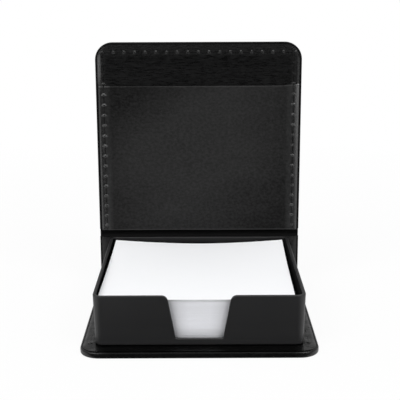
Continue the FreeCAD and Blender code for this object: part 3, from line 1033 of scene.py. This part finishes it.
def bent_sheet(name, radius, thickness, half, slot, finish, node):
    """Sheet that runs round the fold from the base to the spine."""
    axis = (0, FOLD_LOW.y, FOLD_HIGH.z)
    only()
    bpy.ops.mesh.primitive_cylinder_add(
        vertices=48,
        radius=radius,
        depth=2 * half,
        end_fill_type="NOTHING",
        location=axis,
        rotation=(0, pi / 2, 0),
    )
    sheet = fixed(name)
    with shaping(sheet):
        for way in ((0, -1, 0), (0, 0, 1)):
            bpy.ops.mesh.select_all(action="SELECT")
            bpy.ops.mesh.bisect(plane_co=axis, plane_no=way, clear_outer=True, threshold=CUT)
    thicken(sheet, thickness, segments=2, angle=60)
    soften(sheet)
    return settle(sheet, Matrix.Identity(4), finish, slot, "case", node)


def hinge_sheet(name, level, dip, half, thickness, outward, finish, slot, node):
    """Sheet pressed into the hinge groove between spine and cover."""
    columns, steps = 24, 14
    xs = [half * (2 * n / columns - 1) for n in range(columns + 1)]
    ys = [HINGE_LENGTH * n / steps for n in range(steps + 1)]

    def height(column, row):
        from_middle = 2 * ys[row] / HINGE_LENGTH - 1
        return level + dip * (1 - from_middle * from_middle) ** GROOVE_POWER

    sheet = sheet_on_lines(name, xs, ys, height)
    finish_with(sheet, "SOLIDIFY", thickness=thickness, offset=outward)
    soften(sheet, 60)
    settle(sheet, HINGE_PLACE, finish, slot, None, node)
    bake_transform(sheet)
    return sheet


def pocket_seam_face(y):
    """Level of the cover's inner seam, which runs over the pocket below its mouth."""
    return SEAM_FACE + (POCKET_FACE - BORDER_TOP if y < POCKET_MOUTH else 0)


wrapped_board("base_wrap", BASE, BASE_SKIN_FINISH, "base_skin")
wrapped_board("spine_wrap", SPINE, SKIN_FINISH, "spine_skin")
wrapped_board("cover_wrap", COVER, SKIN_FINISH, "cover_skin")

panel_lining("base_sheet", BASE, -1.0, BASE_FINISH, "base_lining")
panel_lining("spine_sheet", SPINE, -1.0, SPINE_FINISH, "spine_lining")
panel_lining("cover_sheet", COVER, POCKET_MOUTH, LINING_FINISH, "cover_lining")
cover_pocket()

seam_threads("base_seam", BASE, lambda y: SEAM_FACE - BASE_SUNK, 1, "base_stitches")
seam_threads("spine_seam", SPINE, lambda y: SEAM_FACE, 1, "spine_stitches")
seam_threads("cover_seam", COVER, pocket_seam_face, 1, "cover_stitches")
seam_threads("base_under_seam", BASE, lambda y: THREAD, -1)
seam_threads("spine_back_seam", SPINE, lambda y: 0.0, -1)
seam_threads("cover_back_seam", COVER, lambda y: 0.0, -1)

bent_sheet(
    "fold_wrap",
    radius=FOLD_HIGH.z,
    thickness=SKIN,
    half=FOLD_HIGH.x,
    slot="leatherette",
    finish=SKIN_FINISH,
    node="fold_skin",
)
bent_sheet(
    "fold_sheet",
    radius=FOLD_HIGH.z - SKIN - BOARD,
    thickness=LINING,
    half=FOLD_IN_HIGH.x,
    slot="lining",
    finish=LINING_FINISH,
    node="fold_lining",
)
hinge_sheet(
    "hinge_wrap",
    level=0.0,
    dip=EDGE / 2 - SKIN,
    half=HALF - HINGE_INSET,
    thickness=SKIN,
    outward=1,
    finish=SKIN_FINISH,
    slot="leatherette",
    node="hinge_skin",
)
hinge_sheet(
    "hinge_sheet",
    level=SKIN + BOARD + LINING,
    dip=EDGE / 2 - SKIN - BOARD,
    half=HALF - GROOVE_INSET,
    thickness=LINING,
    outward=-1,
    finish=GROOVE_FINISH,
    slot="lining",
    node="hinge_lining",
)


# Note paper

BLOCK_SIZE = BLOCK_HIGH - BLOCK_LOW
BLOCK_MIDDLE = (BLOCK_LOW + BLOCK_HIGH) / 2


def paper_stack():
    """Squared-up sheets, each a little off its neighbours."""
    chance = random.Random(STACK_SEED)
    thick = BLOCK_SIZE.z / STACK_SHEETS
    only()
    bpy.ops.mesh.primitive_cube_add(size=1, scale=(BLOCK_SIZE.x, BLOCK_SIZE.y, thick))
    pattern = fixed("note")
    with shaping(pattern):
        pick("edges", lambda e: drop_of(e) > thick / 2)
        bpy.ops.mesh.bevel(affect="EDGES", offset=SHEET_CORNER, segments=1)

    def drawn(lowest, added, scatter, lean):
        return chance.gauss(lowest + added * lean, scatter)

    sheets = []
    for number in range(STACK_SHEETS):
        lean = (number / STACK_SHEETS) ** 2
        x = BLOCK_MIDDLE.x + drawn(*STACK_SLIP, lean)
        y = BLOCK_MIDDLE.y + chance.gauss(0, STACK_SCATTER)
        turn = radians(drawn(*STACK_TURN, lean))
        level = BLOCK_LOW.z + thick * (number + 0.5)
        sheets.append(copy_at(pattern, laid(x, y, level, turn)))
    bpy.data.objects.remove(pattern)
    stack = joined(sheets, "paper_stack")
    return settle(stack, Matrix.Identity(4), STACK_FINISH, "paper", "paper", "paper_block")


def loose_sheets():
    """Top sheets that lie askew, with the rear corners curling up."""
    count = len(LOOSE_SHEETS)
    thick = (TOP_HIGH.z - TOP_LOW.z) / count
    xs, ys = (
        [(size - LOOSE_TRIM) * (n / LOOSE_CELLS - 0.5) for n in range(LOOSE_CELLS + 1)]
        for size in BLOCK_SIZE.xy
    )
    sheets = []
    for number, (turn, slip) in enumerate(LOOSE_SHEETS, 1):

        def height(column, row):
            across = xs[column] / BLOCK_SIZE.x * 2
            rear = max(0.0, ys[row] / BLOCK_SIZE.y * 2 + CURL_START) / (1 + CURL_START)
            curl = CURL_RIGHT if across > 0 else CURL_LEFT
            lift = rear ** CURL_REAR * (abs(across) ** CURL_SIDE * curl - CURL_SAG)
            return TOP_LOW.z + thick * number + lift * number / count

        sheet = sheet_on_lines("sheet", xs, ys, height)
        finish_with(sheet, "SOLIDIFY", thickness=thick * LOOSE_THICK, offset=-1)
        x, y = BLOCK_MIDDLE.x + slip[0], BLOCK_MIDDLE.y + slip[1]
        sheet.data.transform(laid(x, y, 0, radians(turn)))
        sheets.append(sheet)
    top = joined(sheets, "loose_sheets")
    soften(top, 30)
    return settle(top, Matrix.Identity(4), SHEET_FINISH, "paper", "paper", "paper_top")


paper_stack()
loose_sheets()


# The tray, and the CAD nodes that stay: boards and tapes


def past_straight(point):
    """How far a point lies out from the straight part of the tray's walls, in plan."""
    straight = (TRAY_HIGH - TRAY_LOW) / 2 - Vector((1, 1, 0)) * (TRAY_WALL + TRAY_CORNER)
    away = point - (TRAY_LOW + TRAY_HIGH) / 2
    return Vector([copysign(max(0.0, abs(away[n]) - straight[n]), away[n]) for n in (0, 1)])


def tray_moulding():
    """The tray's form, with the rounding of its foot drawn tighter than a circle."""
    tray = bpy.data.objects.new("tray_moulding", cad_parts["tray"].data.copy())
    tray.data.name = tray.name
    bpy.context.scene.collection.objects.link(tray)
    tray.data.transform(Matrix.Scale(1 / MM, 4))
    with shaping(tray):
        bpy.ops.mesh.select_all(action="SELECT")
        bpy.ops.mesh.remove_doubles(threshold=0.001)
    low = []
    for vertex in tray.data.vertices:
        if vertex.co.z < TRAY_LOW.z + TRAY_FOOT + 0.01 and vertex.normal.z < 0.05:
            out = past_straight(vertex.co)
            if out.length > 0 and out.dot(vertex.normal.xy) > -0.01:
                low.append((vertex, out))
    wall = max(out.length for vertex, out in low)
    for vertex, out in low:
        across = (out.length - wall) / TRAY_FOOT + 1
        down = min(1.0, (TRAY_LOW.z - vertex.co.z) / TRAY_FOOT + 1)
        if across > 0 and down > 0:
            drawn = out.normalized() * TRAY_FOOT * (across ** FOOT_POWER - across)
            vertex.co.x += drawn.x
            vertex.co.y += drawn.y
            vertex.co.z -= TRAY_FOOT * (down ** FOOT_POWER - down)
    soften(tray, 30)
    return settle(tray, Matrix.Identity(4), TRAY_FINISH, "tray", "case", "tray")


def dress(node, finish):
    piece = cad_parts[node]
    piece.data.materials.clear()
    piece.data.materials.append(finish)
    soften(piece, 30)


tray_moulding()
for board in ("base_board", "spine_board", "cover_board"):
    dress(board, BOARD_FINISH)
for tape in ("tray_tape_left", "tray_tape_right", "spine_tape"):
    dress(tape, TAPE_FINISH)


# Floor, light and camera

# The card's near and far edge: half its width, and how far it lies from the holder's middle.
CARD_NEAR = (0.075, -0.0541)
CARD_FAR = (0.75, -1.9)
CARD_LEVEL = 0.0003

CAMERA_PLACE = (0.0005, -0.4479, 0.1701)
CAMERA_DOWN = 13.875
CAMERA_ROLL = -0.231
CAMERA_LENS = 85.64


def studio_floor():
    """White floor, which mirrors show as well, and which keeps a faint shadow."""
    only()
    bpy.ops.mesh.primitive_plane_add(size=12, location=(0, 0, 0))
    floor = named("floor")
    finish, r = new_finish("floor_paint")
    lit = r.node("ShaderNodeBsdfDiffuse", None, {"Color": (0.82, 0.82, 0.82, 1)})
    glow = r.node("ShaderNodeEmission", None, {"Color": (1, 1, 1, 1), "Strength": 1.0})
    seen, mirrored, passed = (
        r.node("ShaderNodeLightPath", output="Is %s Ray" % ray)
        for ray in ("Camera", "Glossy", "Transmission")
    )
    far = r.vectors("LENGTH", r.place(), output="Value")
    bright = r.ramp(far, (0.12, 0.92), (0.5, 1.0))
    r.show(r.layer((seen + mirrored + passed) * bright, lit, glow))
    floor.data.materials.append(finish)


def dark_card():
    """Card lying before the holder, out of the picture, that only the black faces mirror."""
    only()
    bpy.ops.mesh.primitive_plane_add(size=2)
    card = named("dark_card")
    for vertex in card.data.vertices:
        half, back = CARD_NEAR if vertex.co.y > 0 else CARD_FAR
        vertex.co = (vertex.co.x * half, back, CARD_LEVEL)
    finish, r = new_finish("card_black")
    r.surface(Base_Color=(0.05, 0.05, 0.05, 1), Roughness=0.9, Specular_IOR_Level=0.1)
    card.data.materials.append(finish)
    card.visible_camera = False
    card.visible_diffuse = False
    card.visible_shadow = False


def studio_world():
    """Room that is pale behind the holder and dim on the side of the camera."""
    world = bpy.data.worlds.new("studio")
    bpy.context.scene.world = world
    r = Recipe(world)
    (back,) = r.axes(r.node("ShaderNodeTexCoord", output="Generated"), "Y")
    shade = r.ramp(back * 0.5 + 0.5, (0.0, 0.06), (0.35, 0.1), (0.7, 0.4), (1.0, 0.65))
    room = r.node("ShaderNodeBackground", None, {"Color": shade, "Strength": 1.0})
    r.node("ShaderNodeOutputWorld", None, {"Surface": room})


def softbox(name, place, aim, size, power):
    lamp = bpy.data.lights.new(name, "AREA")
    lamp.shape = "RECTANGLE"
    lamp.size, lamp.size_y = size
    lamp.energy = power
    box = bpy.data.objects.new(name, lamp)
    box.location = place
    box.rotation_euler = (Vector(aim) - Vector(place)).to_track_quat("-Z", "Y").to_euler()
    bpy.context.scene.collection.objects.link(box)


def photo_camera():
    camera = bpy.data.cameras.new("photo_camera")
    camera.lens = CAMERA_LENS
    camera.sensor_width = 36.0
    camera.clip_start = 0.01
    holder = bpy.data.objects.new("photo_camera", camera)
    holder.location = CAMERA_PLACE
    tilt = Matrix.Rotation(radians(90 - CAMERA_DOWN), 3, "X")
    roll = Matrix.Rotation(radians(CAMERA_ROLL), 3, "Z")
    holder.rotation_euler = (tilt @ roll).to_euler()
    bpy.context.scene.collection.objects.link(holder)
    bpy.context.scene.camera = holder


studio_floor()
studio_world()
dark_card()
softbox("top_softbox", place=(0.0, -0.1, 1.1), aim=(0, 0, 0.02), size=(0.8, 0.5), power=4.2)
softbox("left_softbox", place=(-0.67, -0.73, 0.92), aim=(0, 0, 0.05), size=(0.7, 0.7), power=8.2)
softbox("right_softbox", place=(0.67, -0.7, 0.92), aim=(0, 0, 0.05), size=(0.63, 0.7), power=7.2)
photo_camera()
bpy.context.scene.view_settings.view_transform = "Standard"
